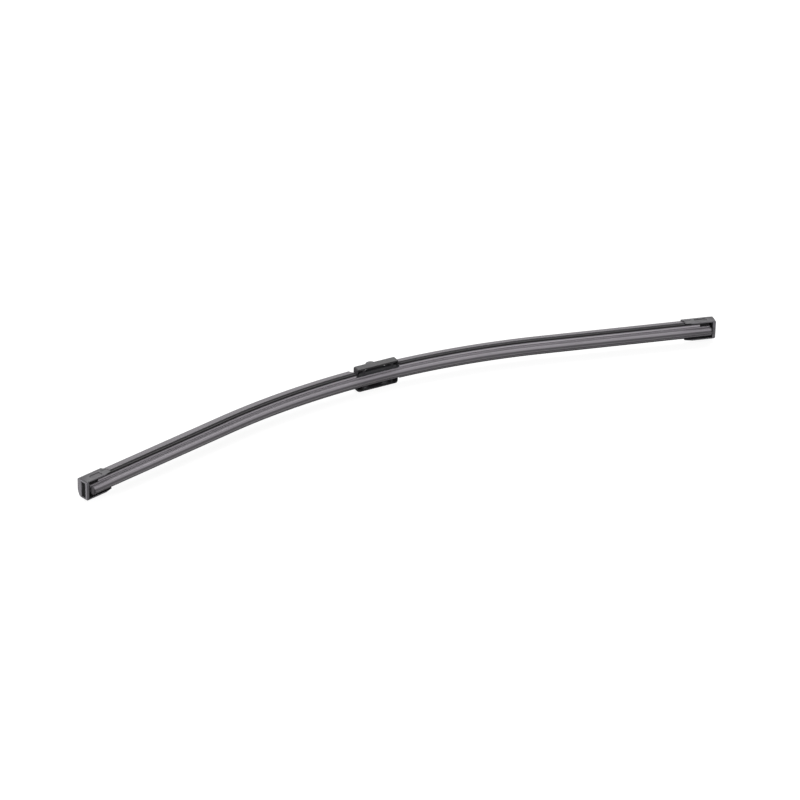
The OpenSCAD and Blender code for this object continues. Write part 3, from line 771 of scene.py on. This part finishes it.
def tip_block(name, outline, start, end, side, curve):
    """A block at the right (1) or the left (-1) tip: its outline lies across the blade, start and end along it."""
    sine, cosine, straight = tip_run(curve)
    bm = bmesh.new()
    rings = []
    for along in (straight + start, straight + end):
        ring = []
        for v, u in outline:
            x = (curve.bend_r + v) * sine + along * cosine
            y = PIN.y - curve.pin_h + (curve.bend_r + v) * cosine - curve.bend_r - along * sine
            ring.append(bm.verts.new((side * x, y, PIN.z + u)))
        rings.append(ring)
    for ring in rings:
        bm.faces.new(ring)
    for i in range(len(outline)):
        bm.faces.new((rings[0][i - 1], rings[0][i], rings[1][i], rings[1][i - 1]))
    return new_object(name, mesh_of(bm, name, smooth=False))


def softened(node, name, radius, material, changes=()):
    """A copy of a CAD node's mesh with its doubles merged, blocks added or cut, and its sharp edges rounded."""
    bm = bmesh.new()
    bm.from_mesh(frame["nodes"][node].data)
    bmesh.ops.remove_doubles(bm, verts=bm.verts, dist=MERGE)
    bmesh.ops.dissolve_limit(bm, angle_limit=FLAT, verts=bm.verts, edges=bm.edges)
    draft = new_object(name + "_draft", mesh_of(bm, name))
    for operation, block in changes:
        change = draft.modifiers.new(operation, "BOOLEAN")
        change.operation, change.object, change.solver = operation, block, "EXACT"
    bevel = draft.modifiers.new("Edges", "BEVEL")
    bevel.limit_method = "ANGLE"
    bevel.angle_limit = BEVEL_FROM
    bevel.width = radius
    bevel.segments = BEVEL_SEGMENTS
    bevel.miter_outer = "MITER_ARC"
    bevel.use_clamp_overlap = True
    piece = made_plain(draft, name)
    for _, block in changes:
        bpy.data.meshes.remove(block.data)
    piece.data.materials.clear()
    piece.data.materials.append(material)
    return piece


def lathed(name, outline, centre, sides, material):
    """A solid of revolution about the Z axis: the outline is radius and height, from the axis to the axis."""
    bm = bmesh.new()
    rings = []
    for radius, height in outline:
        if radius == 0.0:
            rings.append([bm.verts.new((centre.x, centre.y, centre.z + height))])
            continue
        turns = [2 * math.pi * i / sides for i in range(sides)]
        rings.append([bm.verts.new((centre.x + radius * math.cos(turn), centre.y + radius * math.sin(turn),
                                    centre.z + height)) for turn in turns])
    for low, high in zip(rings, rings[1:]):
        for i in range(sides):
            j = (i + 1) % sides
            corners = [low[i % len(low)], low[j % len(low)], high[j % len(high)], high[i % len(high)]]
            bm.faces.new([v for k, v in enumerate(corners) if v not in corners[:k]])
    mesh = mesh_of(bm, name)
    mesh.materials.append(material)
    return made_plain(new_object(name + "_draft", mesh), name, keep_sharp=False)


def dressed(node, material):
    """Gives a CAD node whose shape is right its finish."""
    mesh = frame["nodes"][node].data
    mesh.materials.clear()
    mesh.materials.append(material)


# Operators --------------------------------------------------------------------------------------------------


class WIPER_OT_wiping_rubber(bpy.types.Operator):
    """Sweep the wiping rubber, with its rounded shoulders and lip"""

    bl_idname = "wiper.wiping_rubber"
    bl_label = "Wiping Rubber"

    def execute(self, context):
        scene = context.scene
        curve, rubber, looks = scene.wiper_curve, scene.wiper_rubber, scene.wiper_surfaces
        material = extruded_rubber("Wiping rubber", scene.wiper_finishes.lip_rubber, looks.lip_lines, looks.lip_grain,
                                   looks.lip_rough, looks.lip_gloss, rubber_painted_light, scene)
        reach = curve.blade_len / 2 - rubber.inset
        outline = rubber_section(rubber, scene.wiper_rails)
        piece = swept("wiping_rubber_extrusion", outline, -reach, reach, curve, material, SweepTree())
        on_body(piece, "wiping_rubber")
        return {"FINISHED"}


class WIPER_OT_spoilers(bpy.types.Operator):
    """Sweep the two spoilers that clasp the rails"""

    bl_idname = "wiper.spoilers"
    bl_label = "Spoilers"

    def execute(self, context):
        scene = context.scene
        curve, spoiler, looks = scene.wiper_curve, scene.wiper_spoiler, scene.wiper_surfaces
        material = extruded_rubber("Spoiler rubber", scene.wiper_finishes.spoiler_rubber, looks.spoiler_lines,
                                   looks.spoiler_grain, looks.spoiler_rough, looks.spoiler_gloss, spoiler_painted_light, scene)
        outline = spoiler_section(spoiler, scene.wiper_rubber, scene.wiper_rails)
        reach = curve.blade_len / 2 - spoiler.outer_inset
        tree = SweepTree()
        halves = (("spoiler_left", -reach, -spoiler.inner_end), ("spoiler_right", spoiler.inner_end, reach))
        for node, start, end in halves:
            piece = swept(node + "_extrusion", outline, start, end, curve, material, tree)
            on_body(piece, node)
        return {"FINISHED"}


class WIPER_OT_spring_rails(bpy.types.Operator):
    """Finish the two spring rails"""

    bl_idname = "wiper.spring_rails"
    bl_label = "Spring Rails"

    def execute(self, context):
        colour, looks = context.scene.wiper_finishes.rail_coat, context.scene.wiper_surfaces
        material = coated_steel("Coated spring steel", colour, looks.coat_rough, looks.coat_gloss)
        for node in ("spring_rail_upper", "spring_rail_lower"):
            dressed(node, material)
        return {"FINISHED"}


class WIPER_OT_end_caps(bpy.types.Operator):
    """Close the end walls of the two caps with a sunk panel, soften the edges and give them their grained plastic"""

    bl_idname = "wiper.end_caps"
    bl_label = "End Caps"

    def end_panel(self, scene, side):
        """The lower part of a cap's end wall, down to its rims, and the panel that is sunk in the wall."""
        sizes, curve = scene.wiper_mouldings, scene.wiper_curve
        foot, wall, half = cap_foot(scene), sizes.cap_inner_w / 2 + sizes.cap_edge, sizes.panel_w / 2
        plate = [(foot, -wall), (foot, wall), (sizes.plate_h, wall), (sizes.plate_h, -wall)]
        low = foot + sizes.panel_rim
        panel = [(low, -half), (low, half), (sizes.panel_h, half), (sizes.panel_h, -half)]
        return (
            ("UNION", tip_block("end_plate", plate, -sizes.plate_t, 0.0, side, curve)),
            ("DIFFERENCE", tip_block("end_panel", panel, -sizes.panel_depth, sizes.plate_t, side, curve)),
        )

    def execute(self, context):
        scene = context.scene
        edge = scene.wiper_mouldings.cap_edge
        material = moulded_plastic("Cap plastic", scene.wiper_finishes.cap_plastic, scene, cap_painted_light)
        for node, side in (("end_cap_left", -1), ("end_cap_right", 1)):
            piece = softened(node, node + "_moulding", edge, material, changes=self.end_panel(scene, side))
            on_body(piece, node)
        return {"FINISHED"}


class WIPER_OT_rail_bracket(bpy.types.Operator):
    """Soften the pressed bracket's edges and give it its black coat"""

    bl_idname = "wiper.rail_bracket"
    bl_label = "Rail Bracket"

    def execute(self, context):
        scene = context.scene
        colour, looks = scene.wiper_finishes.bracket_paint, scene.wiper_surfaces
        material = coated_steel("Black coat", colour, looks.coat_rough, looks.coat_gloss)
        piece = softened("rail_bracket", "rail_bracket_pressing", scene.wiper_mouldings.bracket_edge, material)
        on_body(piece, "rail_bracket")
        return {"FINISHED"}


class WIPER_OT_pivot_pin(bpy.types.Operator):
    """Turn the pivot pin, with its domed and dimpled heads"""

    bl_idname = "wiper.pivot_pin"
    bl_label = "Pivot Pin"

    def execute(self, context):
        scene = context.scene
        sizes, looks = scene.wiper_mouldings, scene.wiper_surfaces
        low, high = PIN_BOX
        head_r, half = (high.x - low.x) / 2, (high.z - low.z) / 2
        shank_r, under = head_r - sizes.head_step, half - sizes.head_t
        dome, dimple = sizes.head_dome, sizes.head_dimple
        head = [
            (0.0, half - dome * 1.6), (dimple * 0.6, half - dome * 1.3), (dimple, half - dome * 0.1),
            (dimple * 1.15, half), (head_r * 0.6, half - dome * 0.12), (head_r * 0.82, half - dome * 0.5),
            (head_r - dome * 0.5, half - dome), (head_r, half - dome * 1.5), (head_r, under + dome * 0.2),
            (head_r - dome * 0.2, under), (shank_r, under),
        ]
        outline = [(r, -h) for r, h in head] + [(r, h) for r, h in reversed(head)]
        colour = scene.wiper_finishes.pin_coat
        material = coated_steel("Coated pin steel", colour, looks.pin_rough, looks.coat_gloss)
        piece = lathed("pivot_pin_turning", outline, PIN, sizes.pin_sides, material)
        on_body(piece, "pivot_pin")
        return {"FINISHED"}


class WIPER_OT_connector_cover(bpy.types.Operator):
    """Soften the connector cover's edges and give it its grained plastic"""

    bl_idname = "wiper.connector_cover"
    bl_label = "Connector Cover"

    def execute(self, context):
        scene = context.scene
        edge = scene.wiper_mouldings.cover_edge
        material = moulded_plastic("Cover plastic", scene.wiper_finishes.cover_plastic, scene)
        piece = softened("connector_cover", "connector_cover_moulding", edge, material)
        on_body(piece, "connector_cover")
        return {"FINISHED"}


class WIPER_OT_stage(bpy.types.Operator):
    """Lay the pale floor and set the soft lamps and the camera"""

    bl_idname = "wiper.stage"
    bl_label = "Stage"

    def lamp(self, name, place, target, size, power):
        light = bpy.data.lights.new(name, "AREA")
        light.shape, light.size, light.size_y = "RECTANGLE", size[0], size[1]
        light.energy = power
        lamp = new_object(name, light)
        lamp.location = place
        lamp.rotation_euler = (target - place).to_track_quat("-Z", "Y").to_euler()

    def floor_material(self, studio):
        g = Graph("Studio floor")
        seen = g.add("ShaderNodeLightPath", output=0)
        glow = g.add("ShaderNodeEmission", {}, {"Color": (1.0, 1.0, 1.0, 1.0), "Strength": studio.floor_glow})
        pale = g.add("ShaderNodeBsdfDiffuse", {}, {"Color": shade((1.0, 1.0, 1.0), studio.floor_shade)})
        matt = g.add("ShaderNodeBsdfDiffuse", {}, {"Color": (*studio.floor_colour, 1.0)})
        lifted = g.add("ShaderNodeAddShader", {}, [pale, glow])
        mixed = g.add("ShaderNodeMixShader", {}, [seen, matt, lifted])
        g.add("ShaderNodeOutputMaterial", {}, {"Surface": mixed})
        return g.material

    def floor(self, studio):
        half = studio.floor_size / 2
        mesh = bpy.data.meshes.new("studio_floor")
        mesh.from_pydata([(-half, -half, 0), (half, -half, 0), (half, half, 0), (-half, half, 0)], [], [(0, 1, 2, 3)])
        mesh.materials.append(self.floor_material(studio))
        new_object("studio_floor", mesh)

    def sky(self, studio):
        world = bpy.data.worlds.new("Studio sky")
        world.use_nodes = True
        sky = world.node_tree.nodes["Background"]
        sky.inputs["Color"].default_value = (1.0, 1.0, 1.0, 1.0)
        sky.inputs["Strength"].default_value = studio.sky
        return world

    def camera(self, scene):
        """A camera that aims past the lower claw at the blade's middle."""
        studio, spoiler = scene.wiper_studio, scene.wiper_spoiler
        a, e = studio.azimuth, studio.elevation
        back = Vector((math.sin(a) * math.cos(e), -math.cos(a) * math.cos(e), math.sin(e)))
        right = Vector((math.cos(a), math.sin(a), 0.0))
        up = back.cross(right)
        claw_y = PIN.y - scene.wiper_curve.pin_h - scene.wiper_rails.rail_clear - spoiler.claw_t
        claw = Vector((0.0, claw_y, PIN.z - spoiler.claw_w / 2))
        camera = new_object("Camera", bpy.data.cameras.new("Camera"))
        camera.data.lens = studio.focal
        camera.data.sensor_width = SENSOR_W
        camera.data.clip_start, camera.data.clip_end = CLIP
        camera.location = claw + back * studio.distance
        aim = claw + right * studio.aim_right - up * studio.aim_down
        camera.rotation_mode = "QUATERNION"
        level = (aim - camera.location).to_track_quat("-Z", "Y")
        camera.rotation_quaternion = level @ Quaternion((0.0, 0.0, 1.0), studio.roll)
        return camera

    def execute(self, context):
        scene = context.scene
        studio = scene.wiper_studio
        self.floor(studio)
        scene.world = self.sky(studio)
        target = (CAD_BOX[0] + CAD_BOX[1]) / 2
        for name, place, size, power in LAMPS:
            self.lamp(name, Vector(place), target, size, getattr(studio, power))
        scene.camera = self.camera(scene)
        scene.view_settings.view_transform = "Standard"
        return {"FINISHED"}


class WIPER_PT_dressing(bpy.types.Panel):
    """Lists the blade's pieces in the sidebar"""

    bl_idname = "WIPER_PT_dressing"
    bl_label = "Wiper Blade"
    bl_space_type = "VIEW_3D"
    bl_region_type = "UI"
    bl_category = "Wiper Blade"

    def draw(self, context):
        for operator in PIECES:
            self.layout.operator(operator.bl_idname)
        for name in GROUPS:
            box = self.layout.box()
            group = getattr(context.scene, name)
            for key in group.__annotations__:
                box.prop(group, key)


GROUPS = {
    "wiper_curve": BladeCurve, "wiper_rails": RailSizes, "wiper_rubber": RubberSizes, "wiper_spoiler": SpoilerSizes,
    "wiper_mouldings": MouldingSizes, "wiper_finishes": Finishes, "wiper_surfaces": Surfaces, "wiper_studio": Studio,
}
PIECES = (
    WIPER_OT_wiping_rubber, WIPER_OT_spoilers, WIPER_OT_spring_rails, WIPER_OT_end_caps, WIPER_OT_rail_bracket,
    WIPER_OT_pivot_pin, WIPER_OT_connector_cover, WIPER_OT_stage,
)


def register():
    for kind in (*GROUPS.values(), *PIECES, WIPER_PT_dressing):
        bpy.utils.register_class(kind)
    for name, group in GROUPS.items():
        setattr(bpy.types.Scene, name, PointerProperty(type=group))


def unregister():
    for name in GROUPS:
        delattr(bpy.types.Scene, name)
    for kind in reversed((*GROUPS.values(), *PIECES, WIPER_PT_dressing)):
        bpy.utils.unregister_class(kind)


def main():
    register()
    for operator in PIECES:
        area, name = operator.bl_idname.split(".")
        getattr(getattr(bpy.ops, area), name)()


if __name__ == "__main__":
    main()
